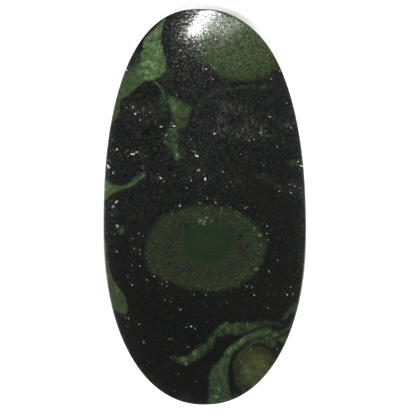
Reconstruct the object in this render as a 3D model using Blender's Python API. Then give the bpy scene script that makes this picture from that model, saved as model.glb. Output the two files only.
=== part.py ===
"""An oval cabochon of dark orbicular jasper with green swirls, lying on its flat back.

Metres, +Z up. The long axis runs along Y and the polished dome looks up along +Z.
The origin is the middle of the flat back, where the stone rests.
"""

import math

import bmesh
import bpy

# Driving dimensions of the cut stone
LENGTH = 0.0430
WIDTH = 0.0217
THICKNESS = 0.0055
GIRDLE_TOP = 0.0020
GIRDLE_LEAN = 0.00010
BACK_BEVEL = 0.00035

# The hand-cut outline: superellipse powers of its two ends, its widening towards -Y,
# the drift of both ends towards -X and the skew of its long axis
NORTH_POWER = 2.43
SOUTH_POWER = 2.17
EGG_TAPER = 0.054
END_DRIFT = -0.00012
AXIS_SKEW = -0.00010

# The dome: how far its arc turns down towards the rim, and how long the level crown is
DOME_ARC = math.radians(64)
CROWN_STRETCH = 0.35

# Fineness of the surface
SEGMENTS = 96
DOME_RINGS = 20

STONE_COLOUR = (0.021, 0.024, 0.019, 1.0)
STONE_ROUGHNESS = 0.12
STONE_IOR = 1.54


def clear_scene():
    for obj in list(bpy.data.objects):
        bpy.data.objects.remove(obj, do_unlink=True)


def polished_stone():
    material = bpy.data.materials.new("polished_jasper")
    material.use_nodes = True
    shader = material.node_tree.nodes["Principled BSDF"]
    shader.inputs["Base Color"].default_value = STONE_COLOUR
    shader.inputs["Roughness"].default_value = STONE_ROUGHNESS
    shader.inputs["Metallic"].default_value = 0.0
    shader.inputs["IOR"].default_value = STONE_IOR
    return material


def outline_point(direction, inset, share=1.0):
    """A point of the plan outline, inset from the full outline and then shrunk to a share of it."""
    cosine = math.cos(direction)
    sine = math.sin(direction)
    end_power = (NORTH_POWER + SOUTH_POWER) / 2 + (NORTH_POWER - SOUTH_POWER) / 2 * sine
    power = 2 + (end_power - 2) * share**2
    across = math.copysign(abs(cosine) ** (2 / power), cosine)
    along = math.copysign(abs(sine) ** (2 / power), sine)
    length_share = share * (1 + CROWN_STRETCH * (1 - share))
    y = along * length_share * (LENGTH / 2 - inset)
    end = y / (LENGTH / 2)
    x = across * share * (WIDTH / 2 - inset) * (1 - EGG_TAPER * end)
    return x + END_DRIFT * end**2 + AXIS_SKEW * end, y


def dome_ring(step):
    """Share of the outline and height of one ring of the dome, counted from its top to its rim."""
    turn = DOME_ARC * step / DOME_RINGS
    share = math.sin(turn) / math.sin(DOME_ARC)
    rise = (math.cos(turn) - math.cos(DOME_ARC)) / (1 - math.cos(DOME_ARC))
    return share, GIRDLE_TOP + (THICKNESS - GIRDLE_TOP) * rise


def rings():
    """Every ring from the top of the dome to the middle of the back: inset, share and height."""
    dome = [(GIRDLE_LEAN, *dome_ring(step)) for step in range(DOME_RINGS + 1)]
    girdle_foot = (0.0, 1.0, BACK_BEVEL)
    back_rim = (BACK_BEVEL, 1.0, 0.0)
    back_middle = (BACK_BEVEL, 0.0, 0.0)
    return [*dome, girdle_foot, back_rim, back_middle]


def cabochon(collection):
    """A unit sphere whose rings of latitude are moved to the rings of the cut stone."""
    stations = rings()
    mesh = bpy.data.meshes.new("jasper_cabochon")
    shape = bmesh.new()
    bmesh.ops.create_uvsphere(
        shape, u_segments=SEGMENTS, v_segments=len(stations) - 1, radius=1.0
    )
    for vertex in shape.verts:
        latitude = math.acos(max(-1.0, min(1.0, vertex.co.z)))
        inset, share, height = stations[round(latitude / math.pi * (len(stations) - 1))]
        direction = math.atan2(vertex.co.y, vertex.co.x)
        vertex.co = (*outline_point(direction, inset, share), height)
    bmesh.ops.recalc_face_normals(shape, faces=shape.faces)
    shape.to_mesh(mesh)
    shape.free()
    mesh.shade_smooth()
    mesh.set_sharp_from_angle(angle=math.radians(25))
    mesh.materials.append(polished_stone())
    stone = bpy.data.objects.new("jasper_cabochon", mesh)
    collection.objects.link(stone)
    return stone


def main():
    clear_scene()
    collection = bpy.data.collections.new("star_galaxy_jasper")
    bpy.context.scene.collection.children.link(collection)
    cabochon(collection)


main()
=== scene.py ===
"""The looks of the jasper cabochon: its rounded surface, its natural markings and its polish.

Metres, +Z up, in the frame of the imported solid. The markings are placed in pixels of the
photograph (416 x 416, x right, y down), seen through the same camera that looks at the stone.
"""

import math

import bpy
import numpy as np
from mathutils import Matrix, Vector


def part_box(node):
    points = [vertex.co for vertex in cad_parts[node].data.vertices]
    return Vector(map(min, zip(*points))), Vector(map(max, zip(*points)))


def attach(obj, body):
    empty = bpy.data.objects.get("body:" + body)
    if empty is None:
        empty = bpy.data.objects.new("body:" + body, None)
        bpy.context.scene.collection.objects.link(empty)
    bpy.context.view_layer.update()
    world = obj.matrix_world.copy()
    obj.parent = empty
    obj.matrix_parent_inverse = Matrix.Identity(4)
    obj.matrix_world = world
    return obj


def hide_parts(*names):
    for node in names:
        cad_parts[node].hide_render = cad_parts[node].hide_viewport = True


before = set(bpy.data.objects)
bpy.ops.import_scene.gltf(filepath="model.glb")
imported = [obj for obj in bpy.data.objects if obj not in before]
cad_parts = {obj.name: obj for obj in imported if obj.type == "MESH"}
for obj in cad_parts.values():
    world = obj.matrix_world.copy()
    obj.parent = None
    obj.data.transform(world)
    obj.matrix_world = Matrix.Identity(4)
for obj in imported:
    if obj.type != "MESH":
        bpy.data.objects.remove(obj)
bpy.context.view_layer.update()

NODE = "jasper_cabochon"
LOW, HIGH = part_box(NODE)
MM = 0.001

# The cut stone, as its solid has it
LENGTH = HIGH[1] - LOW[1]
THICKNESS = HIGH[2] - LOW[2]
WIDTH = 21.7 * MM
GIRDLE_TOP = 2.0 * MM
GIRDLE_LEAN = 0.10 * MM
BACK_BEVEL = 0.35 * MM
NORTH_POWER = 2.43
SOUTH_POWER = 2.17
EGG_TAPER = 0.054
END_DRIFT = -0.12 * MM
AXIS_SKEW = -0.10 * MM
DOME_ARC = math.radians(64)
CROWN_STRETCH = 0.35
# A flat ground by hand at the upper right of the rim: depth, direction, reach and fading inwards
GROUND_FLAT = 0.22 * MM
GROUND_FLAT_AT = math.radians(69)
GROUND_FLAT_REACH = math.radians(17)
GROUND_FLAT_FADE = 12

# Fineness of the visible mesh, and how far its corners are rounded, less so at the upper end
CELLS_ACROSS = 160
CELLS_ALONG = 312
DOME_EDGE_SHARE = 0.988
CRISP_EDGE = 0.009
CRISP_EDGE_AT = math.radians(90)
CRISP_EDGE_REACH = math.radians(8)
CORNER_ROUND = 0.06 * MM
CORNER_STEPS = 4
WALL_ROWS = 9
BACK_GRID_INSET = BACK_BEVEL + 6 * CORNER_ROUND

# The camera of the photograph, leaning towards +Y from straight above
PHOTO_SIDE = 416
CAMERA_TILT = math.radians(10.8)
CAMERA_DISTANCE = 250 * MM
FOCAL_SHARE = 5.621
SENSOR_MM = 36.0
AIM = Vector((0.35 * MM, -0.16 * MM, 0))
CAMERA_BACK = Vector((0, math.sin(CAMERA_TILT), math.cos(CAMERA_TILT)))
CAMERA_UP = Vector((0, math.cos(CAMERA_TILT), -math.sin(CAMERA_TILT)))
CAMERA_RIGHT = Vector((1, 0, 0))
CAMERA_PLACE = AIM + CAMERA_DISTANCE * CAMERA_BACK
CLIP_START = 0.01


# Shape of the stone


def outline(direction, inset, share):
    """Plan places on the hand-cut outline, inset from it and then shrunk to a share of it."""
    cosine, sine = np.cos(direction), np.sin(direction)
    end_power = (NORTH_POWER + SOUTH_POWER) / 2 + (NORTH_POWER - SOUTH_POWER) / 2 * sine
    power = 2 + (end_power - 2) * share**2
    across = np.sign(cosine) * np.abs(cosine) ** (2 / power)
    along = np.sign(sine) * np.abs(sine) ** (2 / power)
    length_share = share * (1 + CROWN_STRETCH * (1 - share))
    y = along * length_share * (LENGTH / 2 - inset)
    end = y / (LENGTH / 2)
    x = across * share * (WIDTH / 2 - inset) * (1 - EGG_TAPER * end)
    return x + END_DRIFT * end**2 + AXIS_SKEW * end, y


def dome(direction, share):
    """Places on the polished dome."""
    turn = np.arcsin(share * math.sin(DOME_ARC))
    rise = (np.cos(turn) - math.cos(DOME_ARC)) / (1 - math.cos(DOME_ARC))
    inset = GIRDLE_LEAN + (rim_inset(direction) - GIRDLE_LEAN) * share**GROUND_FLAT_FADE
    x, y = outline(direction, inset, share)
    return np.stack([x, y, GIRDLE_TOP + (THICKNESS - GIRDLE_TOP) * rise], axis=-1)


def bump(direction, middle, reach):
    """1 in one direction, falling off softly to both sides of it."""
    away = np.angle(np.exp(1j * (direction - middle)))
    return np.exp(-((away / reach) ** 2))


def rim_inset(direction):
    """How far the girdle leans in at its top: more where a flat was ground at the upper right."""
    return GIRDLE_LEAN + GROUND_FLAT * bump(direction, GROUND_FLAT_AT, GROUND_FLAT_REACH)


def edge_share(direction):
    """Share of the outline at which the dome starts to round off: later where its edge is crisp."""
    return DOME_EDGE_SHARE + CRISP_EDGE * bump(direction, CRISP_EDGE_AT, CRISP_EDGE_REACH)


def level(direction, inset, height, share=1.0):
    """Places at one height, on the outline or inside it."""
    x, y = outline(direction, inset, share)
    return np.stack([x, y, np.full_like(x, height)], axis=-1)


def concentric(cells_across, cells_along):
    """Share of the outline and direction of each place of a grid laid over the stone."""
    across, along = np.meshgrid(
        np.linspace(-1, 1, cells_across + 1), np.linspace(-1, 1, cells_along + 1)
    )
    wide = np.abs(across) >= np.abs(along)
    reach = np.where(wide, across, along)
    safe = np.where(reach == 0, 1, reach)
    turn = np.where(wide, along / safe, 2 - across / safe) * math.pi / 4
    return np.abs(reach).ravel(), (turn + np.where(reach < 0, math.pi, 0)).ravel()


def grid_faces(cells_across, cells_along, first):
    """Square faces of a grid whose corners are numbered row by row."""
    row = cells_across + 1
    corner = np.arange(cells_along)[:, None] * row + np.arange(cells_across) + first
    corner = corner.ravel()
    return np.stack([corner, corner + 1, corner + row + 1, corner + row], axis=1)


def grid_rim(cells_across, cells_along, first):
    """Corner numbers around the grid's rim, anticlockwise from its first corner."""
    numbers = np.arange((cells_across + 1) * (cells_along + 1)) + first
    numbers = numbers.reshape(cells_along + 1, cells_across + 1)
    sides = [numbers[0, :-1], numbers[:-1, -1], numbers[-1, :0:-1], numbers[:0:-1, 0]]
    return np.concatenate(sides)


def towards(start, end, reach):
    """Places a given way from start towards end, and no further than half way."""
    way = end - start
    length = np.linalg.norm(way, axis=1, keepdims=True)
    return start + way * np.minimum(reach / length, 0.5)


def rounded(before, corner, after):
    """Rows of places that turn a corner on a short curve."""
    return [
        (1 - step) ** 2 * before + 2 * step * (1 - step) * corner + step**2 * after
        for step in np.linspace(0, 1, CORNER_STEPS + 1)
    ]


def side_rows(direction):
    """Rows of places down the stone's side, from the dome's edge to the flat of the back."""
    brink = dome(direction, edge_share(direction))
    rim = level(direction, rim_inset(direction), GIRDLE_TOP)
    foot = level(direction, 0.0, BACK_BEVEL)
    heel = level(direction, BACK_BEVEL, 0.0)
    flat = level(direction, BACK_BEVEL + CORNER_ROUND, 0.0)
    below_rim = towards(rim, foot, CORNER_ROUND)
    above_foot = towards(foot, rim, CORNER_ROUND)
    rows = rounded(brink, rim, below_rim)[1:]
    for step in np.linspace(0, 1, WALL_ROWS + 1)[1:-1]:
        rows.append(below_rim + (above_foot - below_rim) * step)
    rows += rounded(above_foot, foot, towards(foot, heel, CORNER_ROUND))
    rows += rounded(towards(heel, foot, CORNER_ROUND), heel, flat)
    return rows


def stone_surface():
    """Places and faces of the whole closed surface, and how deep each place is below the dome."""
    share, direction = concentric(CELLS_ACROSS, CELLS_ALONG)
    places = [dome(direction, share * edge_share(direction))]
    depths = [np.zeros(len(share))]
    faces = grid_faces(CELLS_ACROSS, CELLS_ALONG, 0).tolist()
    loop = grid_rim(CELLS_ACROSS, CELLS_ALONG, 0)
    around = direction[loop]
    count = len(share)
    for row in side_rows(around):
        places.append(row)
        depths.append(np.clip(GIRDLE_TOP - row[:, 2], 0, None))
        below = np.arange(len(loop)) + count
        faces += np.stack([loop, below, np.roll(below, -1), np.roll(loop, -1)], 1).tolist()
        loop = below
        count += len(loop)
    back_across, back_along = CELLS_ACROSS // 2, CELLS_ALONG // 2
    back_share, back_direction = concentric(back_across, back_along)
    places.append(level(back_direction, BACK_GRID_INSET, 0.0, back_share))
    depths.append(dome(back_direction, back_share)[:, 2])
    faces += grid_faces(back_across, back_along, count)[:, ::-1].tolist()
    inner = grid_rim(back_across, back_along, count)
    for number, corner in enumerate(inner):
        outer = [loop[(2 * number + step) % len(loop)] for step in range(3)]
        faces.append([*outer[::-1], corner, inner[(number + 1) % len(inner)]][::-1])
    return np.vstack(places), faces, np.concatenate(depths)


# Where the photograph sees a place


def photo_pixels(places):
    """Pixels at which the photograph's camera sees places, as x and y."""
    way = places - np.array(CAMERA_PLACE)
    distance = -(way @ np.array(CAMERA_BACK))
    scale = PHOTO_SIDE * FOCAL_SHARE / distance
    half = PHOTO_SIDE / 2
    return half + way @ np.array(CAMERA_RIGHT) * scale, half - way @ np.array(CAMERA_UP) * scale


# Curves and distances, all in pixels of the photograph

CURVE_STEPS = 5
FAR = 9.0
# How sharply the looks of marks give way to each other, and between which depths, in edge widths
LOOKS_SHARPNESS = 2
LOOKS_RANGE = (-4, 2)
TINY = 1e-6


def smooth_curve(points, closed):
    """A smooth curve through given points; whatever each point carries goes along."""
    points = np.array(points, float)
    if closed:
        ring = np.vstack([points[-1:], points, points[:2]])
    else:
        ring = np.vstack([2 * points[0] - points[1], points, 2 * points[-1] - points[-2]])
    step = (np.arange(CURVE_STEPS) / CURVE_STEPS)[:, None]
    parts = []
    for a, b, c, d in zip(ring, ring[1:], ring[2:], ring[3:]):
        bend = (2 * a - 5 * b + 4 * c - d) * step**2 + (3 * b - a - 3 * c + d) * step**3
        parts.append(b + ((c - a) * step + bend) / 2)
    return np.vstack(parts if closed else [*parts, points[-1:]])


def along_segment(x, y, start, end):
    """Share of the way along a segment of the point nearest each place, and its distance."""
    way = end[:2] - start[:2]
    share = ((x - start[0]) * way[0] + (y - start[1]) * way[1]) / (way @ way)
    share = np.clip(share, 0, 1)
    return share, np.hypot(x - start[0] - way[0] * share, y - start[1] - way[1] * share)


class Mark:
    """A coloured shape: warmth from teal (-1) to olive (1), light, mottling and edge width."""

    def __init__(self, points, warmth=0.0, light=0.0, mottle=0.0, soft=1.0):
        self.curve = smooth_curve(points, self.closed)
        self.looks = warmth, light, mottle
        self.soft = soft


class Line(Mark):
    """A band of varying half-width along a curve: points are x, y and half-width."""

    closed = False

    def inside(self, x, y):
        best = np.full(x.shape, -FAR)
        for start, end in zip(self.curve, self.curve[1:]):
            share, gap = along_segment(x, y, start, end)
            best = np.maximum(best, start[2] + (end[2] - start[2]) * share - gap)
        return best


class Patch(Mark):
    """An area inside a smooth closed outline."""

    closed = True

    def inside(self, x, y):
        nearest = np.full(x.shape, FAR)
        within = np.zeros(x.shape, bool)
        for start, end in zip(self.curve, np.roll(self.curve, -1, axis=0)):
            nearest = np.minimum(nearest, along_segment(x, y, start, end)[1])
            if start[1] != end[1]:
                crossing = start[0] + (y - start[1]) * (end[0] - start[0]) / (end[1] - start[1])
                within ^= ((start[1] > y) != (end[1] > y)) & (x < crossing)
        return np.where(within, nearest, -nearest)


def field_of(marks, x, y):
    """How far inside any mark each place is, in edge widths, and the looks of the marks there."""
    field = np.full(x.shape, -FAR)
    weight = np.full(x.shape, TINY)
    looks = np.zeros((len(x), 3))
    for mark in marks:
        low, high = mark.curve[:, :2].min(axis=0) - FAR, mark.curve[:, :2].max(axis=0) + FAR
        near = (x > low[0]) & (x < high[0]) & (y > low[1]) & (y < high[1])
        inside = mark.inside(x[near], y[near]) / mark.soft
        field[near] = np.maximum(field[near], inside)
        share = np.exp(LOOKS_SHARPNESS * np.clip(inside, *LOOKS_RANGE))
        weight[near] += share
        looks[near] += share[:, None] * np.array(mark.looks)
    return field, looks / weight[:, None]


# The green veins and swirls: points in pixels, then warmth, light, mottling and edge width

VEINS = [
    # column from the upper left edge, brightest low down
    Patch([(165, 19), (162.5, 27), (161, 40), (163, 50), (165, 60), (166.5, 70), (161, 75), (153, 80),
           (143, 80), (135, 74), (136, 66), (141, 62), (140.5, 55), (143, 48), (145, 40), (150.5, 33),
           (157.5, 26)], 0.1, 0.66, 1.2, 1.9),
    Patch([(147, 58), (152, 51), (159, 53), (162, 62), (158, 72), (150, 76), (145, 69)], -0.2, 0.88, 1, 3),
    Patch([(159, 25), (160, 34), (158, 43), (150, 45), (147.5, 39), (153, 31)], 0.1, 0.76, 1.2, 3),
    # arm from the column down the left edge
    Patch([(131, 71), (143, 73), (145, 80), (137, 87.5), (132, 92), (128, 96), (121.5, 99), (120, 104),
           (119, 112), (116, 118), (112, 123), (106, 128), (102, 118), (108, 98), (116, 80),
           (123, 73)], 0.4, 0.44, 0.7, 1.3),
    # thread from the column to the arrowhead, with darker green beside it
    Line([(149, 78, 1.3), (154, 81, 1), (158, 85, 0.9), (162, 91, 0.8), (164, 98, 0.9),
          (166, 104, 0.7)], -0.3, 0.58, 0.7, 1.5),
    Line([(165, 86, 1), (166, 92, 1.6), (168, 99, 1.6)], -1, 0.2, 1, 2.6),
    Line([(160, 98, 1.2), (163, 104, 2.6), (164.5, 110, 2), (162, 117, 0.8)], -0.7, 0.22, 0.9, 3),
    # arrowhead and its tail
    Patch([(169, 96), (180, 101), (186, 105), (191, 107.5), (189, 114), (187.5, 121), (186, 127),
           (180, 130), (174, 128), (173, 115), (170.5, 104)], 0.4, 0.37, 0.7, 3),
    Patch([(167, 97), (175, 99), (181, 105), (178, 113), (172, 113), (169, 105)], -0.3, 0.62, 0.8, 2.8),
    Patch([(175, 118), (181, 116), (187, 118), (186, 126), (180, 130), (175, 128)], 1, 0.18, 0.6, 3),
    Patch([(170, 128), (177, 129), (180, 135), (178, 142), (182, 149), (185, 158), (178, 161), (173, 153),
           (168, 146), (165, 138)], -0.3, 0.28, 1.4, 3.8),
    Line([(178, 125, 2), (173, 135, 1.8), (174, 143, 1.7), (177, 151, 1.8),
          (178, 158, 1.6)], -0.2, 0.62, 1, 2.6),
    # vein from the left edge
    Patch([(96, 179), (106, 181), (110, 183.4), (118, 185.8), (125, 185.2), (132, 181.6), (138, 177.4),
           (143, 174), (144.5, 176.5), (138, 182), (130, 187), (120, 190), (112, 193.5), (104, 201),
           (96, 204)], 0.4, 0.58, 0.5, 1.6),
    Patch([(98, 179), (109, 183), (114, 187.5), (108, 195), (98, 203)], 0.9, 1.4, 0.4, 2.8),
    Line([(134, 180.5, 1.4), (140, 177, 2.4), (144, 175, 1.8)], -0.8, 0.5, 1, 2.6),
    Line([(144, 179.5, 0.4), (150, 179, 0.6), (157, 178, 0.3)], -0.8, 0.2, 1, 1.8),
    # lens down the lower left edge, greener at its foot
    Patch([(101, 230), (105.5, 240), (107.5, 256), (110, 270), (114, 280), (119, 287.5), (124, 295),
           (127, 303), (127.5, 310), (125, 314), (118, 312.5), (110, 306), (100, 280),
           (96, 250)], 0.3, 0.44, 0.4, 1.5),
    Patch([(118, 292), (124, 297), (127, 304), (126, 311), (119, 309), (115, 300)], -0.4, 0.4, 0.5, 3),
    # small patches by the left edge
    Patch([(115, 227), (120, 226), (124, 229.5), (122, 234), (117, 232)], 0.9, 0.36, 1.2, 2.4),
    Patch([(112, 214), (117, 212.5), (119, 215), (113, 217)], 1, 0.18, 1, 2.4),
    Line([(127, 219, 0.8), (132, 217, 1.2), (137, 215, 0.8)], -1, 0.16, 0.5, 2),
    # lower swirl, left part
    Line([(171, 357, 0.8), (176, 358.5, 2.4), (183, 361, 3.6), (190, 359.5, 4), (196, 355, 4.4),
          (202, 350, 4.2), (208, 345.5, 3.8), (212, 340, 3), (215, 335, 2.4),
          (219, 331, 2.4)], 0.1, 0.32, 1, 2.9),
    Line([(178, 360, 1), (186, 359.5, 1.1), (194, 355, 1.2), (202, 350, 1.1),
          (210, 343, 0.9)], 0.4, 0.43, 0.9, 2),
    # lower swirl, upper band
    Patch([(215, 330), (219, 326), (225, 322.5), (232, 323.5), (240, 325), (247, 323), (255, 326),
           (252, 329.5), (247, 331), (240, 334.5), (228, 334), (219, 337)], 0.1, 0.31, 1.3, 2.4),
    Line([(221, 326, 0.9), (232, 324.5, 0.9), (245, 324, 0.9), (256, 326.5, 0.8)], 1, 0.5, 1.2, 2.2),
    Line([(250, 326, 2.4), (262, 323, 2.2), (272, 323, 1.8), (282, 325, 1.2)], 0.1, 0.24, 1.2, 2.8),
    # wisps that run in from the right edge
    Line([(301, 302, 2.2), (294, 307.5, 2.2), (288, 313, 2), (283, 319, 1.4)], 0, 0.28, 0.9, 3),
    Line([(295, 320, 1.4), (290, 327, 1.8), (284, 331, 1.7), (277, 334.5, 1.8),
          (270, 336, 2)], -0.2, 0.3, 0.7, 2.1),
    Patch([(268, 331), (276, 331), (277, 337), (276, 344), (271, 347), (266, 342),
           (264, 336)], 0.3, 0.29, 1, 2.2),
    Patch([(279, 338), (284, 336), (287, 338), (284, 342), (280, 342)], 1, 0.38, 1, 1.8),
    # main swirl band, with a light line along its outer edge
    Patch([(273, 330), (262, 330), (254, 332), (246, 335.5), (241, 339), (235, 343), (230, 347), (225, 352),
           (222, 357), (218, 362), (213, 366), (210, 373), (208.5, 382), (209, 395), (208, 407), (220, 410),
           (235, 404), (231, 395), (229, 385), (228, 375), (228, 366), (230.5, 358), (233.5, 352),
           (238, 348), (245, 343), (252, 339.5), (260, 336.5), (267, 336.5),
           (274, 339)], -0.1, 0.44, 0.8, 2.2),
    Line([(226, 355, 1.2), (231, 348, 1.3), (238, 342.5, 1.2), (246, 338, 1.1), (256, 334, 1.1),
          (266, 333.5, 1)], 0.2, 0.74, 0.8, 1.8),
    Line([(224, 362, 2), (222, 374, 3), (222, 388, 3.5), (220, 402, 3.5)], -0.4, 0.68, 0.8, 3),
    # thin ring round the lowest orb
    Line([(270, 345, 1.6), (264, 341.5, 1.6), (257, 341.5, 1.5), (249, 345.5, 1.4), (242, 351, 1.4),
          (237.5, 357, 1.3), (234.5, 364, 1.2), (234.5, 372, 1.2), (236.5, 380, 1.2), (240, 387, 1.4),
          (246, 393, 1.6)], -0.1, 0.32, 0.8, 1.5),
    # faint marks at the lower edge and the right
    Line([(182, 398, 2), (188, 395, 2), (192, 401, 1)], 0.2, 0.12, 1, 2.5),
    Line([(291, 163, 1.4), (296, 162, 1.8), (302, 160, 1.6)], 1, 0.2, 1, 2.5),
]

# Light mint spots in the green: x, y, radius
MINT_SPOTS = [
    (155.5, 34, 1.8), (153, 47, 1.6), (157, 53, 1.3), (149, 63, 2.2), (153, 66, 2), (148, 73, 2),
    (144, 46, 1.3), (143, 66, 1.4), (177, 155, 1.6), (142, 176, 1.6), (118, 291, 1.4), (195, 353, 2),
    (183, 359, 1.8), (186, 364, 1.3), (242, 341.5, 1.8), (228, 352, 1.8), (216, 397, 1.7), (219, 389, 1.6),
    (231, 348, 1.4), (248, 323.5, 1.1), (226, 324.5, 1.2), (274, 335, 1.3), (200, 221, 1.5),
    (204, 223, 1.6), (206, 218.5, 1.4), (211, 221, 1.2), (254, 229, 1.3), (260, 235, 1.5), (257, 269, 1.4),
    (171, 127, 1.2),
]

# Outlines of the orbs, and of the core of the first, in pixels
ORB_1 = [
    (145, 250), (147, 268), (156, 275), (169, 282), (187, 289), (212, 291.5), (235, 288), (248, 280),
    (258, 271), (265, 257), (266, 243), (260, 230), (251, 220), (239, 211.5), (220, 206), (200, 204.5),
    (178, 210), (160, 218), (149, 233),
]
CORE_1 = [
    (182, 243), (187, 256), (198, 262), (212, 263), (226, 258), (234, 248), (234, 238), (226, 228),
    (212, 223), (198, 224), (187, 231),
]
ORB_2 = [
    (194, 34), (192, 50), (199, 60), (210, 68), (218, 75), (230, 79), (246, 81), (260, 79), (270, 75),
    (279, 67), (292, 56), (288, 30), (262, 12), (230, 8), (205, 18),
]
ORB_3 = [
    (235.5, 368), (237, 358), (244, 350), (255, 346), (266, 347.5), (272, 354), (275, 364), (274, 378),
    (266, 388), (254, 392), (243, 388), (237.5, 379),
]
# Each one's name in the material, its outline, and how deep it reaches into the stone
ORBS = [("orb_1", ORB_1, 6.5 * MM), ("core_1", CORE_1, 2.6 * MM), ("orb_2", ORB_2, 5.5 * MM),
        ("orb_3", ORB_3, 4.0 * MM)]
# Upper edge of a disc that lies under the surface, below the second orb
HIDDEN_EDGE = [
    Line([(195, 122, 0.8), (197, 111, 1.2), (201, 103.5, 1.4), (208, 97, 1.4), (217, 92, 1.4),
          (228, 89, 1.0), (245, 87, 0.5), (265, 87.5, 0.1), (290, 92, -0.5)], soft=2.4),
]


def share_of_orb(ring, x, y, depth, reach):
    """Distance from an orb's middle, 1 at its outline, growing with depth as in a ball."""
    ring = smooth_curve(ring, closed=True)
    middle = ring.mean(axis=0)
    ring = ring - middle
    angle = np.arctan2(ring[:, 1], ring[:, 0])
    radius = np.hypot(ring[:, 0], ring[:, 1])
    order = np.argsort(angle)
    here = np.arctan2(y - middle[1], x - middle[0])
    edge = np.interp(here, angle[order], radius[order], period=2 * math.pi)
    share = np.hypot(x - middle[0], y - middle[1]) / edge
    return np.sqrt(share**2 + (depth / reach) ** 2)


# Soft clouds: x, y, half-length, half-width, turn in degrees, strength
FROST = [
    (226, 108, 9, 5, 30, 1), (221, 121, 4, 7, 0, 1), (226, 131, 10, 5, 10, 1), (245, 133, 9, 6, 0, 0.9),
    (262, 132, 10, 5, 10, 0.8), (286, 125, 6, 4, 30, 0.8), (252, 122, 10, 5, 0, 0.5),
    (275, 117, 7, 3, 20, 0.35), (240, 108, 12, 4, 10, 0.4), (205, 142, 12, 8, 0, 0.25),
    (143, 112, 12, 8, 20, 0.5), (142, 160, 6, 10, 20, 0.35), (262, 86, 7, 2, 0, 0.5),
    (131, 68, 5, 4, 0, 0.9), (137, 60, 3, 6, 0, 0.6), (279, 188, 6, 4, 30, 0.4), (295, 187, 4, 6, 0, 0.45),
    (236, 183, 12, 7, 10, 0.25), (115, 206, 4, 5, 0, 0.3), (158, 178, 9, 2, 5, 0.3),
    (200, 172, 20, 10, 0, 0.2),
]
GREEN_MIST = [
    (262, 175.5, 6, 2.5, 10, 0.9), (273, 184, 5, 2, 20, 0.2), (166, 74, 6, 5, 0, 0.7),
    (258, 327, 14, 4, 0, 0.5), (285, 143, 8, 3, 40, 0.3), (134, 68, 6, 5, 10, 0.8),
    (164, 108, 6, 6, 0, 0.35), (271, 340, 6, 6, 0, 0.5), (233, 396, 6, 3, 0, 0.5), (294, 163, 6, 3, 0, 0.6),
    (185, 398, 5, 4, 0, 0.4), (204, 221, 9, 5, 0, 0.5), (165, 365, 6, 2, 0, 0.25),
]
BROWN_MIST = [
    (136, 58, 5, 9, 20, 0.8), (164, 76, 3, 5, 0, 0.8), (255, 50, 18, 9, 0, 0.5), (155, 382, 9, 6, 40, 0.35),
    (240, 388, 8, 6, 0, 0.3), (240, 310, 30, 12, 0, 0.15), (236, 324, 13, 2.5, 0, 0.5),
    (204, 370, 4, 6, 0, 0.35), (126, 320, 8, 6, 0, 0.35), (275, 312, 6, 5, 0, 0.35),
    (270, 290, 14, 14, 0, 0.2), (256, 350, 18, 8, 0, 1), (256, 358, 14, 5, 0, 0.55),
    (137, 340, 8, 10, 0, 0.25),
]
# Where the grains glitter most
GLITTER = [(229, 20, 15, 9, -12, 1.0), (192, 14, 5, 7, 0, 0.4)]
# Where the groundmass is paler and grainier
PALE_GROUND = [
    (190, 120, 130, 75, 0, 1), (130, 215, 40, 50, 0, 0.5), (290, 230, 40, 60, 0, 0.3),
]
# Where small unplaced specks are thickest
SPECK_CLOUDS = [
    (137, 250, 10, 22, 0, 0.8), (158, 281, 16, 9, 30, 0.8), (205, 203, 40, 7, 0, 0.5),
    (262, 250, 8, 40, 0, 0.4), (180, 190, 45, 14, 0, 0.5), (140, 160, 24, 20, 0, 0.5),
    (140, 112, 20, 12, 0, 0.6), (245, 130, 34, 18, 0, 0.6), (285, 185, 14, 14, 0, 0.6),
    (190, 55, 22, 34, 0, 0.7), (240, 82, 40, 6, 0, 0.6), (215, 292, 45, 10, 0, 0.6),
    (125, 320, 12, 12, 0, 0.5), (205, 165, 30, 14, 0, 0.4), (200, 250, 70, 50, 0, 0.3),
]
CLOUDS = {
    "mint": [(x, y, radius, radius, 0, 1.0) for x, y, radius in MINT_SPOTS],
    "frost": FROST, "green_mist": GREEN_MIST, "brown_mist": BROWN_MIST,
    "speckled": SPECK_CLOUDS, "pale_ground": PALE_GROUND, "glitter": GLITTER,
}


def from_spot(spot, x, y):
    """Ways to places from a spot, along and across it, in its own half-length and half-width."""
    middle_x, middle_y, half_length, half_width, turn = spot
    cosine, sine = math.cos(math.radians(turn)), math.sin(math.radians(turn))
    along = ((x - middle_x) * cosine + (y - middle_y) * sine) / half_length
    across = ((y - middle_y) * cosine - (x - middle_x) * sine) / half_width
    return along, across


def cloud_of(clouds, x, y):
    """Sum of soft clouds, at most 1."""
    total = np.zeros(x.shape)
    for *spot, strength in clouds:
        along, across = from_spot(spot, x, y)
        total += strength * np.exp(-(along**2) - across**2)
    return np.minimum(total, 1)


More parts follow.
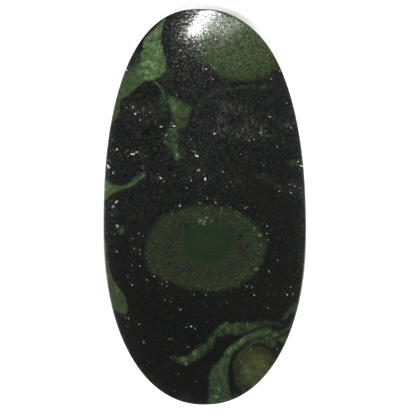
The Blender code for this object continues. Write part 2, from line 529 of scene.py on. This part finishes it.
# The pale specks that stand out: x, y, half-length, half-width, turn in degrees, light
STARS = [
    (108.5, 166.5, 2, 1.2, 60, 1), (113, 173, 1.3, 0.9, -50, 0.7), (132.5, 154, 2.2, 1.2, -10, 1),
    (136, 152.5, 1.6, 1, -30, 0.85), (197, 156, 2.1, 0.95, 30, 0.95), (205.5, 179, 0.9, 1.5, 10, 0.85),
    (116.5, 202, 1.8, 1.1, -30, 0.8), (113, 206.5, 1.8, 1.2, -45, 0.6), (214.5, 133.5, 1.1, 0.9, 0, 0.75),
    (117.5, 226, 1.6, 1.4, 20, 0.7), (161, 178, 1.4, 0.9, 20, 0.9), (164, 181.5, 1.4, 0.6, 50, 0.5),
    (132, 285, 0.9, 0.8, 0, 0.8), (144, 342.5, 0.7, 0.7, 0, 0.85), (191, 326.5, 1.3, 0.7, 10, 0.75),
    (186, 327, 0.8, 0.8, 0, 0.45), (195, 328.5, 0.7, 0.8, 0, 0.45), (254, 295, 0.9, 0.9, 0, 0.65),
    (117, 149.5, 1.6, 1, -40, 0.75), (301, 166, 0.8, 1.4, -30, 0.9), (298, 161.5, 1.3, 0.7, 0, 0.65),
    (135.5, 113.5, 1.2, 1.4, 0, 0.8), (133, 107, 1.2, 1, 0, 0.6), (180, 205.5, 1.4, 0.9, -40, 0.65),
    (215.5, 203, 1.2, 0.9, 30, 0.55), (206, 69, 1, 0.8, 0, 0.75), (161.5, 126.5, 1.8, 0.9, 0, 0.7),
    (126.5, 70, 1.4, 1, 20, 0.7), (180.5, 310, 0.9, 0.9, 0, 0.7), (170, 339, 2.4, 0.9, -5, 0.3),
    (139.5, 324, 1.2, 0.9, 0, 0.45), (269, 271.5, 1.5, 0.6, 40, 0.5), (198.5, 170, 1.8, 1.1, -30, 0.65),
    (277, 348.5, 0.8, 1.1, 0, 0.45), (174, 126, 1.3, 1, 0, 0.75), (166, 135, 1.4, 1, -20, 0.5),
]

# Smaller round flecks: x, y, light
FLECKS = [
    (126.5, 107.5, 0.5), (138, 112, 0.5), (150, 112.5, 0.4), (140.5, 120, 0.5), (147, 115, 0.35),
    (164.5, 142, 0.45), (128, 156, 0.5), (112.5, 139.5, 0.45), (174.5, 175.5, 0.5), (191.5, 180, 0.55),
    (186.5, 188, 0.45), (191, 139, 0.45), (195, 146, 0.35), (146, 156, 0.4), (172.5, 24, 0.5),
    (180.5, 50, 0.6), (177, 94.5, 0.5), (213, 79, 0.5), (271.5, 79, 0.5), (247.5, 36, 0.5),
    (254.5, 43.5, 0.5), (279.5, 71, 0.5), (260, 133, 0.55), (266, 131.5, 0.5), (249, 140.5, 0.5),
    (254, 139.5, 0.5), (246, 126.5, 0.35), (270, 117, 0.55), (291, 128, 0.55), (294, 123, 0.5),
    (287, 103, 0.4), (277, 146.5, 0.5), (221, 148.5, 0.45), (241, 154, 0.4), (264, 165, 0.5),
    (223, 172, 0.5), (231, 182, 0.5), (227, 187, 0.45), (279, 191, 0.6), (290, 184.5, 0.5), (295, 186, 0.5),
    (291, 193, 0.55), (112, 215.5, 0.5), (114, 234, 0.45), (127, 226.5, 0.5), (138.5, 233.5, 0.5),
    (133, 238.5, 0.5), (143, 236, 0.4), (134, 248.5, 0.5), (140, 250, 0.5), (140, 253.5, 0.45),
    (116.5, 251.5, 0.6), (132, 265.5, 0.5), (140, 266, 0.5), (128, 277, 0.4), (147, 280, 0.5),
    (154, 276.5, 0.5), (166.5, 282, 0.6), (162, 284, 0.5), (167.5, 286, 0.5), (199.5, 203, 0.45),
    (207.5, 198.5, 0.45), (222, 208, 0.4), (229.5, 207, 0.4), (245, 208, 0.45), (247.5, 207, 0.35),
    (267, 226, 0.5), (267, 233.5, 0.5), (268, 240, 0.4), (278, 260, 0.5), (246.5, 286.5, 0.55),
    (252, 287, 0.45), (291, 287, 0.45), (287, 294.5, 0.6), (292.5, 294, 0.45), (268, 308, 0.4),
    (227, 303, 0.45), (206, 306, 0.4), (194, 295, 0.5), (206, 295, 0.45), (165, 300, 0.5),
    (170.5, 302, 0.4), (128.5, 318.5, 0.5), (125.5, 318, 0.4), (128, 327, 0.35), (188.5, 347, 0.4),
    (178.5, 374.5, 0.4), (196, 381, 0.35), (174.5, 391, 0.35), (251, 350, 0.55), (241, 361.5, 0.4),
    (148.5, 362, 0.35), (197.5, 336.5, 0.35),
]
FLECK_RADIUS = 0.88
STAR_LAYERS = 3
STAR_REACH = 4.0


def deal_stars():
    """Stars and flecks shared out into layers, so that no two of a layer are close together."""
    layers = [[] for _ in range(STAR_LAYERS)]
    flecks = [(x, y, FLECK_RADIUS, FLECK_RADIUS, 0, light) for x, y, light in FLECKS]
    for star in STARS + flecks:
        gaps = [
            min((math.dist(star[:2], other[:2]) for other in layer), default=math.inf)
            for layer in layers
        ]
        layers[gaps.index(max(gaps))].append(star)
    return layers


def way_from_star(layer, x, y):
    """Way from the nearest star of a layer to each place, in that star's own size, and its light."""
    nearest = np.full(x.shape, STAR_REACH)
    way = np.full((len(x), 3), STAR_REACH)
    way[:, 2] = 0
    for *spot, light in layer:
        along, across = from_spot(spot, x, y)
        gap = np.hypot(along, across)
        closer = gap < nearest
        nearest[closer] = gap[closer]
        way[closer] = np.stack([along, across, np.full_like(x, light)], axis=1)[closer]
    return way


# Below the dome the pattern slants and waves, so that the back shows another slice of it
SLANT_X = -2.6 / MM
SLANT_Y = 3.4 / MM
WAVE_DEPTH = 1.5 / MM
HALF_WAVE = 55.0
STAR_DEPTH = 0.2 * MM


def pattern_places(places, depths):
    """Pixels from which each place takes its markings."""
    x, y = photo_pixels(places)
    wave_x = np.sin(y / HALF_WAVE * math.pi + 1) * WAVE_DEPTH
    wave_y = np.sin(x / HALF_WAVE * math.pi) * WAVE_DEPTH
    return x + (SLANT_X + wave_x) * depths, y + (SLANT_Y + wave_y) * depths


def write_number(mesh, name, values):
    layer = mesh.attributes.new(name, "FLOAT", "POINT")
    layer.data.foreach_set("value", values.astype(np.float32))


def write_vector(mesh, name, values):
    layer = mesh.attributes.new(name, "FLOAT_VECTOR", "POINT")
    layer.data.foreach_set("vector", values.astype(np.float32).ravel())


def mark_stone(mesh, places, depths):
    """Gives every corner of the mesh the fields that the material reads."""
    x, y = pattern_places(places, depths)
    field, looks = field_of(VEINS, x, y)
    write_number(mesh, "vein", field)
    write_vector(mesh, "vein_looks", looks)
    for name, ring, reach in ORBS:
        write_number(mesh, name, share_of_orb(ring, x, y, depths, reach))
    write_number(mesh, "hidden_edge", field_of(HIDDEN_EDGE, x, y)[0])
    for name, clouds in CLOUDS.items():
        write_number(mesh, name, cloud_of(clouds, x, y))
    for number, layer in enumerate(deal_stars()):
        way = way_from_star(layer, x, y)
        way[:, 0] += depths / STAR_DEPTH
        write_vector(mesh, f"stars_{number}", way)


# Materials


# Light that the polish adds to every colour, taken off before the colour goes on the stone
SHEEN = 0.0055
DARKEST = 0.0005


def shade(red, green, blue):
    """A colour given as the bytes that the photograph shows, sheen included."""
    shown = np.array([red, green, blue]) / 255
    linear = np.where(shown <= 0.04045, shown / 12.92, ((shown + 0.055) / 1.055) ** 2.4)
    return (*np.maximum(linear - SHEEN, DARKEST).tolist(), 1.0)


GROUND = shade(26, 27, 26)
GROUND_COOL = shade(25, 28, 28)
GROUND_WARM = shade(30, 29, 26)
TEAL = shade(63, 99, 73)
GREEN = shade(84, 108, 72)
OLIVE = shade(90, 105, 65)
MINT = shade(150, 178, 136)
ORB_1_RING = shade(42, 53, 37)
ORB_1_BROWN = shade(47, 51, 38)
ORB_1_CORE = shade(35, 49, 34)
ORB_1_HEART = shade(40, 49, 34)
ORB_1_DOTS = shade(20, 20, 22)
ORB_1_GREY = shade(50, 48, 48)
ORB_1_SPARKS = shade(84, 110, 86)
ORB_2_GREEN = shade(50, 64, 39)
ORB_2_TEAL = shade(48, 66, 50)
ORB_2_BROWN = shade(57, 62, 39)
ORB_3_OLIVE = shade(68, 76, 43)
ORB_3_BROWN = shade(60, 59, 41)
ORB_3_YELLOW = shade(83, 88, 48)
ARC_GREY = shade(84, 84, 78)
FROST_PALE = shade(150, 150, 142)
FROST_TAN = shade(136, 118, 98)
FROST_BLUE = shade(104, 116, 124)
MIST_GREEN = shade(50, 74, 50)
MIST_BROWN = shade(52, 48, 38)
SOCKET = shade(14, 14, 13)
STAR_PALE = shade(228, 228, 214)
SPECK_PALE = shade(135, 136, 126)


# The polish: refraction, how rough the wall and the dome are, and the clear coat on top
STONE_IOR = 1.54
WALL_ROUGHNESS = 0.12
DOME_ROUGHNESS = 0.26
COAT_IOR = 1.5
COAT_ROUGHNESS = 0.06
# Unplaced specks, coarse to fine: scale, size, share where thick, share elsewhere, strength
DUST = [(2.6, 0.042, 0.3, 0.012, 0.48), (4.4, 0.034, 0.6, 0.04, 0.4), (8.0, 0.03, 0.6, 0.07, 0.28)]
# The way from the places of one size of specks to the next, so that no two sizes match
DUST_STEP = (3.0, 1.0, 8.0)
FLAT_ONLY = (1.0, 1.0, 0.0)
BLACK = (0, 0, 0, 1)
WHITE = (1, 1, 1, 1)


def feed(node, inputs):
    """Links signals to inputs of a shader node and sets plain values on them."""
    for name, value in inputs.items():
        if isinstance(value, Signal):
            value.tree.links.new(value.socket, node.inputs[name])
        else:
            node.inputs[name].default_value = value


def add_node(tree, kind, inputs, output, **settings):
    """Adds a shader node with its settings and inputs, and gives one of its outputs."""
    node = tree.nodes.new("ShaderNode" + kind)
    for name, value in settings.items():
        setattr(node, name, value)
    feed(node, inputs)
    return Signal(tree, node.outputs[output])


class Signal:
    """An output of a shader node. Sums, products and the calls below add more nodes to it."""

    def __init__(self, tree, socket):
        self.tree = tree
        self.socket = socket

    def math(self, operation, first, second):
        return add_node(self.tree, "Math", {0: first, 1: second}, 0, operation=operation)

    def vector(self, operation, inputs, output="Vector"):
        return add_node(self.tree, "VectorMath", inputs, output, operation=operation)

    def either(self, operation, other):
        if self.socket.type == "VALUE":
            return self.math(operation, self, other)
        return self.vector(operation, {0: self, 1: other})

    def __add__(self, other):
        return self.either("ADD", other)

    def __sub__(self, other):
        return self.either("SUBTRACT", other)

    def __rsub__(self, other):
        return self.math("SUBTRACT", other, self)

    def __mul__(self, other):
        if self.socket.type == "VALUE" or isinstance(other, tuple):
            return self.either("MULTIPLY", other)
        return self.vector("SCALE", {0: self, "Scale": other})

    def __rmul__(self, other):
        return self.vector("SCALE", {0: other, "Scale": self})

    def __truediv__(self, other):
        return self.math("DIVIDE", self, other)

    def __pow__(self, power):
        return self.math("POWER", self, power)

    def __rpow__(self, base):
        return self.math("POWER", base, self)

    def __lt__(self, other):
        return self.math("LESS_THAN", self, other)

    def __abs__(self):
        return self.math("ABSOLUTE", self, 0.0)

    def at_most(self, limit):
        return self.math("MINIMUM", self, limit)

    def length(self):
        return self.vector("LENGTH", {0: self}, "Value")

    def normalised(self):
        return self.vector("NORMALIZE", {0: self})

    def around(self, spread):
        """Noise from 0 to 1 turned into a swing of plus and minus half the spread."""
        return (self - 0.5) * spread

    def mix(self, first, second):
        """From the first colour at 0 to the second at 1."""
        return add_node(self.tree, "Mix", {0: self, 6: first, 7: second}, 2, data_type="RGBA")

    def fade(self, start, end, low=0.0, high=1.0):
        """A smooth step from low at start to high at end."""
        if start > end:
            start, end, low, high = end, start, high, low
        inputs = {"Value": self, "From Min": start, "From Max": end, "To Min": low, "To Max": high}
        return add_node(self.tree, "MapRange", inputs, "Result", interpolation_type="SMOOTHSTEP")

    def noise(self, scale, detail=3.0, roughness=0.55, twist=0.0):
        inputs = {"Vector": self, "Scale": scale, "Detail": detail, "Roughness": roughness}
        return add_node(self.tree, "TexNoise", {**inputs, "Distortion": twist}, "Fac")

    def cells(self, scale, output="Color"):
        """A random colour for each small cell, or the distance to its middle."""
        return add_node(self.tree, "TexVoronoi", {"Vector": self, "Scale": scale}, output)

    def split(self):
        first = add_node(self.tree, "SeparateXYZ", {0: self}, 0)
        return [Signal(self.tree, socket) for socket in first.socket.node.outputs]


def read(tree, name, output="Fac"):
    """A field that the mesh carries."""
    return add_node(tree, "Attribute", {}, output, attribute_name=name)


def place_mm(tree):
    """The place on the object in millimetres, so that scales below are per millimetre."""
    return add_node(tree, "TexCoord", {}, "Object") * (1 / MM)


def new_material(name):
    """A material with its node tree and its Principled shader."""
    material = bpy.data.materials.new(name)
    material.use_nodes = True
    return material, material.node_tree, material.node_tree.nodes["Principled BSDF"]


def granules(place, colour, scale, low, high):
    """Breaks a colour up into small grains of differing light."""
    return colour * place.cells(scale).split()[0].fade(0.0, 1.0, low, high)


def dots(place, scale, size, share):
    """Round dots, one to a cell at most, of varied size: the given share of the cells has one."""
    chance = place.cells(scale).split()
    reach = (chance[1] + 0.5) * (size * scale)
    round_dot = (place.cells(scale, "Distance") / reach).fade(1.3, 0.6)
    return round_dot * (chance[0] < share) * (chance[2] * 0.8 + 0.2)


def groundmass(tree, place):
    """Near-black jasper with faint cool and warm clouds and a fine grain."""
    cloud = place.noise(0.35)
    warm = (place + (31.0, 7.0, 3.0)).noise(0.5)
    colour = cloud.fade(0.45, 0.7).mix(GROUND, GROUND_COOL)
    colour = warm.fade(0.5, 0.75).mix(colour, GROUND_WARM)
    grain = place.noise(5.5, roughness=0.75)
    colour = colour * grain.fade(0.25, 0.8, 0.35, 1.95)
    pale = read(tree, "pale_ground")
    colour = pale.fade(0.2, 0.9, 0.25, 0.95).mix(colour, granules(place, colour, 6.5, 0.2, 2.1))
    return colour * pale.fade(0.0, 1.0, 1.0, 1.53)


def first_orb(tree, place, colour, ragged):
    """The large ringed eye: grainy ring, a dotted grey circle in it, and a smooth green core."""
    share = read(tree, "orb_1") + ragged
    cloud = place.noise(0.9, detail=4.0, roughness=0.65)
    speckle = place.noise(3.2, roughness=0.7)
    ring = cloud.fade(0.42, 0.58).mix(ORB_1_RING, ORB_1_BROWN)
    ring = granules(place, ring, 5.0, 0.75, 1.25) * speckle.fade(0.3, 0.7, 0.8, 1.2)
    circle = share.fade(0.48, 0.56) * share.fade(0.76, 0.64)
    ring = (circle * speckle.fade(0.4, 0.6, 0.1, 0.6)).mix(ring, ORB_1_GREY)
    ring = (dots(place, 3.3, 0.12, 0.95) * circle).mix(ring, ORB_1_DOTS)
    sparks = dots(place, 3.4, 0.085, 0.45) * share.fade(0.68, 0.92)
    ring = (sparks * 0.6).mix(ring, ORB_1_SPARKS)
    core = read(tree, "core_1") + ragged
    heart = core.fade(0.7, 0.3).mix(ORB_1_CORE, ORB_1_HEART)
    ring = core.fade(1.22, 0.8).mix(ring, granules(place, heart, 4.0, 0.94, 1.06))
    return share.fade(1.05, 0.93).mix(colour, ring)


def second_orb(tree, place, colour, ragged):
    """The plain olive orb at the upper edge, whose rim breaks up into grains."""
    grain = place.noise(4.5, roughness=0.75)
    share = read(tree, "orb_2") + ragged + grain.around(0.35)
    brown = place.noise(0.5, detail=5.0, roughness=0.7).fade(0.42, 0.6)
    tint = (place + (9.0, 4.0, 1.0)).noise(2.6, roughness=0.7)
    face = tint.fade(0.5, 0.7).mix(brown.mix(ORB_2_GREEN, ORB_2_BROWN), ORB_2_TEAL)
    face = granules(place, face, 7.5, 0.56, 1.46) * grain.fade(0.3, 0.7, 0.8, 1.2)
    return share.fade(1.07, 0.9).mix(colour, face * share.fade(0.45, 1.0, 1.1, 0.72))


def third_orb(tree, place, colour, ragged):
    """The yellowish eye at the lower edge, brownish in patches."""
    share = read(tree, "orb_3") + ragged * 0.5
    cloud = place.noise(0.9, detail=4.0, roughness=0.6)
    face = cloud.fade(0.38, 0.54).mix(ORB_3_BROWN, ORB_3_OLIVE)
    face = cloud.fade(0.56, 0.7).mix(face, ORB_3_YELLOW)
    face = granules(place, face, 5.0, 0.78, 1.22) * share.fade(0.45, 1.0, 1.25, 0.55)
    return share.fade(1.04, 0.95).mix(colour, face)


def with_mists(tree, place, colour):
    """Faint haze: frosty fibres, green and brown breaths, and the edge of a hidden disc."""
    wisps = place.noise(1.9, detail=5.0, roughness=0.72)
    grain = place.noise(4.0, roughness=0.7)
    fibre = abs(place.noise(3.0, detail=2.0, roughness=0.6, twist=1.2) - 0.5).fade(0.07, 0.01)
    broken = (place + (2.0, 5.0, 9.0)).noise(6.0, detail=2.0, roughness=0.7)
    fibre = fibre * wisps.fade(0.46, 0.58) * broken.fade(0.46, 0.6, 0.05, 1.0)
    tint = place.noise(0.7, detail=2.0)
    pale = tint.fade(0.5, 0.62).mix(FROST_PALE, FROST_TAN)
    pale = tint.fade(0.48, 0.38).mix(pale, FROST_BLUE)
    frost = read(tree, "frost")
    colour = (frost * grain.fade(0.5, 0.66) * 0.13).mix(colour, pale)
    arc = (read(tree, "hidden_edge") + wisps.around(2.5)).fade(-1.0, 1.0)
    colour = (arc * grain.fade(0.45, 0.63, 0.07, 0.43)).mix(colour, ARC_GREY)
    colour = (frost * fibre).mix(colour, pale)
    colour = (read(tree, "green_mist") * wisps.fade(0.35, 0.65)).mix(colour, MIST_GREEN)
    return (read(tree, "brown_mist") * wisps.fade(0.65, 0.35) * 0.7).mix(colour, MIST_BROWN)


def with_veins(tree, place, colour):
    """Green veins with ragged edges, mottled and tinted in patches, with mint spots."""
    wide = place.noise(0.9)
    patch = place.noise(2.0, roughness=0.6)
    fine = (place + (5.0, 9.0, 2.0)).noise(4.5, roughness=0.7)
    warmth, light, mottle = read(tree, "vein_looks", "Vector").split()
    field = read(tree, "vein") + fine.around(2.8) + wide.around(1.6)
    warmth = warmth + patch.around(3.0)
    tint = warmth.fade(-1.0, 0.0).mix(TEAL, GREEN)
    tint = warmth.fade(0.0, 1.0).mix(tint, OLIVE)
    swing = (patch.around(3.4) + fine.around(1.6)) * (mottle + 0.25)
    colour = field.fade(-0.8, 1.0).mix(colour, tint * light * 2.0**swing)
    return (read(tree, "mint") * fine.fade(0.42, 0.62) * 0.75).mix(colour, MINT)


def with_dust(tree, place, colour):
    """Three sizes of faint unplaced specks, thick in places."""
    clumps = place.noise(1.1, roughness=0.6).fade(0.42, 0.62, 0.3, 1.5)
    wanted = read(tree, "speckled") * clumps
    for scale, size, thick, spare, strength in DUST:
        place = place + DUST_STEP
        colour = (dots(place, scale, size, wanted * thick + spare) * strength).mix(colour, SPECK_PALE)
    return colour


def with_stars(tree, place, colour):
    """The placed stars and flecks, each in a darker socket."""
    broken = place.cells(8.5).split()
    ragged = broken[0].around(0.9) + place.noise(5.0, detail=2.0).around(2.0)
    shine = broken[1] * 0.6 + 0.55
    for number in range(STAR_LAYERS):
        star = read(tree, f"stars_{number}", "Vector")
        light = star.split()[2]
        gap = (star * FLAT_ONLY).length() + ragged
        colour = (gap.fade(2.4, 1.2) * light).mix(colour, SOCKET)
        glow = gap.fade(1.15, 0.6) * light**2.0 * shine
        colour = glow.at_most(1.0).mix(colour, STAR_PALE)
    return colour


def grain_tilt(place, scale, reach):
    """A small turn of the surface, grain by grain; most grains turn little and a few a lot."""
    chance = place.cells(scale) - (0.5, 0.5, 0.0)
    return chance * FLAT_ONLY * (chance.split()[2] ** 1.5 * reach)


def polish(tree, place, shader):
    """Glittering grains under a clear coat; the sides are smoother and the back is sawn."""
    normal = add_node(tree, "NewGeometry", {}, "Normal")
    height = normal.split()[2]
    facing_up = height.fade(0.56, 0.7)
    back = height.fade(-0.8, -0.95)
    glitter = read(tree, "glitter")
    tilt = grain_tilt(place, 5.0, 0.2) + grain_tilt(place, 9.0, 0.5)
    tilt = tilt * (glitter.fade(0.0, 1.0, 0.9, 3.2) * facing_up)
    scratch = (place * (0.3, 9.0, 0.3)).noise(1.0, detail=4.0, roughness=0.8).around(0.5)
    saw = (0.15, 1.0, 0.0) * (scratch * back)
    rough = height.fade(0.6, 0.78, WALL_ROUGHNESS, DOME_ROUGHNESS)
    rough = rough + back * scratch.fade(-0.1, 0.15, 0.3, 0.45)
    elsewhere = place + (4.0, 6.0, 2.0)
    sparkle = glitter.fade(0.1, 0.9, 0.95, 2.4) * facing_up
    coat_normal = normal + grain_tilt(elsewhere, 8.5, 0.17) * sparkle
    feed(shader, {
        "Normal": (normal + (tilt + saw)).normalised(), "IOR": STONE_IOR,
        "Roughness": rough - glitter.fade(0.2, 1.0, 0.0, 0.1),
        "Specular Tint": (elsewhere.cells(6.0) + (0.9, 1.0, 0.9)) * 0.52,
        "Coat Weight": height.fade(0.5, 0.7, 0.4, 1.0) * back.fade(1.0, 0.0),
        "Coat Normal": coat_normal.normalised(), "Coat Roughness": COAT_ROUGHNESS, "Coat IOR": COAT_IOR,
    })


def jasper():
    """The polished stone: its pattern, layer on layer, and its polish."""
    material, tree, shader = new_material("polished_jasper_pattern")
    place = place_mm(tree)
    ragged = place.noise(1.6, detail=4.0, roughness=0.65).around(0.2)
    colour = groundmass(tree, place)
    for orb in (first_orb, second_orb, third_orb):
        colour = orb(tree, place, colour, ragged)
    for layer in (with_mists, with_veins, with_dust, with_stars):
        colour = layer(tree, place, colour)
    feed(shader, {"Base Color": colour})
    polish(tree, place, shader)
    return material


# Pieces


def add_object(name, data):
    thing = bpy.data.objects.new(name, data)
    bpy.context.scene.collection.objects.link(thing)
    return thing


def add_surface(name, places, faces, material):
    mesh = bpy.data.meshes.new(name)
    mesh.from_pydata(places, [], faces)
    mesh.materials.append(material)
    return add_object(name, mesh)


def make_stone():
    places, faces, depths = stone_surface()
    stone = add_surface("polished_stone", places.tolist(), faces, jasper())
    stone.data.update()
    stone.data.shade_smooth()
    mark_stone(stone.data, places, depths)
    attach(stone, "root")
    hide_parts(NODE)
    return places


# Stage

FLOOR_HALF = 0.6
FLOOR_DROP = 0.02 * MM
FLOOR_GLOW = 1.4
FLOOR_COLOUR = (0.9, 0.9, 0.9)
FLOOR_ROUGHNESS = 0.9
# How far off, in millimetres, the polish starts and ends seeing the floor as dim
NEAR_FLOOR = 16.0
FAR_FLOOR = 40.0


def floor_material():
    """White card that glows softly near the stone; far off, the polish mirrors a dim room."""
    material, tree, shader = new_material("white_floor")
    mirrored = add_node(tree, "LightPath", {}, "Is Glossy Ray")
    keep = 1.0 - place_mm(tree).length().fade(NEAR_FLOOR, FAR_FLOOR) * mirrored
    feed(shader, {
        "Base Color": FLOOR_COLOUR * keep, "Roughness": FLOOR_ROUGHNESS, "Specular IOR Level": 0.0,
        "Emission Color": WHITE, "Emission Strength": keep * FLOOR_GLOW,
    })
    return material


def make_floor():
    corners = [(-1, -1), (1, -1), (1, 1), (-1, 1)]
    places = [(x * FLOOR_HALF, y * FLOOR_HALF, -FLOOR_DROP) for x, y in corners]
    floor = add_surface("floor", places, [(0, 1, 2, 3)], floor_material())


SHADOW_REACH = 0.16 * MM
SHADOW_STEPS = 180
SHADOW_LIGHT = 0.5


def shade_material():
    """A black band that glows white at its outer edge and dimmer at the stone."""
    material, tree, shader = new_material("contact_shade")
    feed(shader, {
        "Base Color": BLACK, "Specular IOR Level": 0.0,
        "Emission Color": WHITE, "Emission Strength": read(tree, "light"),
    })
    return material


def make_contact_shadow():
    """A hairline of shade on the floor, right round the foot of the stone."""
    direction = np.linspace(0, 2 * math.pi, SHADOW_STEPS, endpoint=False)
    inner = level(direction, BACK_BEVEL, -FLOOR_DROP / 2)
    outer = level(direction, -SHADOW_REACH, -FLOOR_DROP / 2)
    here = np.arange(SHADOW_STEPS)
    following = np.roll(here, -1)
    quads = np.stack([here, here + SHADOW_STEPS, following + SHADOW_STEPS, following], axis=1)
    places = np.vstack([inner, outer]).tolist()
    shadow = add_surface("contact_shadow", places, quads.tolist(), shade_material())
    write_number(shadow.data, "light", np.repeat([SHADOW_LIGHT, 1.0], SHADOW_STEPS))
    shadow.visible_glossy = False


ROOM_FILL = (0.29, 0.29, 0.29, 1)
ROOM_MIRRORED = (0.06, 0.06, 0.06, 1)


def light_room():
    """A soft even room that the camera sees as white and the polish mirrors as nearly black."""
    world = bpy.data.worlds.new("studio")
    bpy.context.scene.world = world
    world.use_nodes = True
    tree = world.node_tree
    light = add_node(tree, "LightPath", {}, "Is Glossy Ray").mix(ROOM_FILL, ROOM_MIRRORED)
    light = add_node(tree, "LightPath", {}, "Is Camera Ray").mix(light, WHITE)
    feed(tree.nodes["Background"], {"Color": light})


FILL_PLACE = (0.05, 0.1, 0.7)
FILL_SIDE = 0.6
FILL_WATTS = 1.6


def add_fill():
    """A wide soft box overhead, which the polish doesn't mirror."""
    light = bpy.data.lights.new("fill", "AREA")
    light.size = FILL_SIDE
    light.energy = FILL_WATTS
    lamp = add_object("fill", light)
    lamp.location = FILL_PLACE
    lamp.rotation_mode = "QUATERNION"
    lamp.rotation_quaternion = Vector(FILL_PLACE).to_track_quat("Z", "Y")
    lamp.visible_glossy = False


# The key light: cards whose mirror images in the dome are the streak and the glow to its right.
# Each corner is in pixels, with the card's light there; a card runs on past its upper end.
STREAK = [
    ((182, 36.5), (1.0, 0.95, 0.9)), ((200.5, 38.5), (1.0, 1.0, 1.0)),
    ((218, 12), (0.85, 0.95, 0.95)), ((198.5, 11.5), (0.9, 0.85, 0.8)),
]
GLOW = [
    ((200, 34), (1.0, 1.0, 0.9)), ((226, 40), (0.9, 1.0, 0.95)),
    ((250, 25), (1.15, 1.35, 1.3)), ((206, 12), (2.3, 2.25, 2.1)),
]
# Each card's name, corners, radiance, and the share of it over which its edges fade
CARDS = [("streak_card", STREAK, 26.0, 0.16), ("glow_card", GLOW, 2.6, 0.3)]
KEY_DISTANCE = 0.6
KEY_CELLS = 10
KEY_OVERSHOOT = 0.15
MIRROR_BLUR = 1.5


def dome_facets(places):
    """Places of the dome's grid inside its rim, and which way it faces there."""
    grid = places[: (CELLS_ACROSS + 1) * (CELLS_ALONG + 1)]
    grid = grid.reshape(CELLS_ALONG + 1, CELLS_ACROSS + 1, 3)
    facing = np.cross(grid[1:-1, 2:] - grid[1:-1, :-2], grid[2:, 1:-1] - grid[:-2, 1:-1])
    facing /= np.linalg.norm(facing, axis=2, keepdims=True)
    return grid[1:-1, 1:-1].reshape(-1, 3), facing.reshape(-1, 3)


def mirrored_place(pixel, spots, facing):
    """The far place that the dome mirrors to the camera at a pixel."""
    x, y = photo_pixels(spots)
    weight = np.exp(-((x - pixel[0]) ** 2 + (y - pixel[1]) ** 2) / MIRROR_BLUR**2)
    place = Vector(weight @ spots / weight.sum())
    view = (place - CAMERA_PLACE).normalized()
    return place + view.reflect(Vector(weight @ facing).normalized()) * KEY_DISTANCE


def key_places(card, soft_share, places):
    """Places over a card whose mirror image has the given corners, and how bright each is."""
    spots, facing = dome_facets(places)
    steps = np.linspace(0, 1, KEY_CELLS + 1)
    across, along = (grid.ravel() for grid in np.meshgrid(steps, steps))
    shares = np.stack(
        [(1 - across) * (1 - along), across * (1 - along), across * along, (1 - across) * along]
    )
    pixels = shares.T @ np.array([pixel for pixel, _ in card])
    spread = np.array([mirrored_place(pixel, spots, facing) for pixel in pixels])
    rows = spread.reshape(KEY_CELLS + 1, KEY_CELLS + 1, 3)
    far_end = rows[-1:] + (rows[-1:] - rows[:1]) * KEY_OVERSHOOT
    edge = np.clip(np.minimum(np.minimum(across, 1 - across), along) / soft_share, 0, 1)
    light = shares.T @ np.array([light for _, light in card])
    light = light * (edge**2 * (3 - 2 * edge))[:, None]
    light = np.vstack([light, light[-KEY_CELLS - 1 :]])
    return np.concatenate([rows, far_end]).reshape(-1, 3), light


def add_key_card(name, card, radiance, soft_share, places):
    """A glowing card placed where the dome mirrors it as the streak, or the glow."""
    spots, glow = key_places(card, soft_share, places)
    material, tree, shader = new_material(name)
    glowing = {"Emission Color": read(tree, "glow", "Vector"), "Emission Strength": radiance}
    feed(shader, {"Base Color": BLACK, **glowing})
    faces = grid_faces(KEY_CELLS, KEY_CELLS + 1, 0).tolist()
    board = add_surface(name, spots.tolist(), faces, material)
    write_vector(board.data, "glow", glow)
    board.visible_camera = False


def add_camera():
    camera = bpy.data.cameras.new("camera")
    camera.sensor_width = SENSOR_MM
    camera.lens = FOCAL_SHARE * SENSOR_MM
    camera.clip_start = CLIP_START
    viewer = add_object("camera", camera)
    turn = Matrix((CAMERA_RIGHT, CAMERA_UP, CAMERA_BACK)).transposed()
    viewer.matrix_world = Matrix.Translation(CAMERA_PLACE) @ turn.to_4x4()
    bpy.context.scene.camera = viewer


bpy.context.scene.view_settings.view_transform = "Standard"
add_camera()
surface_places = make_stone()
make_floor()
make_contact_shadow()
light_room()
add_fill()
for card in CARDS:
    add_key_card(*card, surface_places)
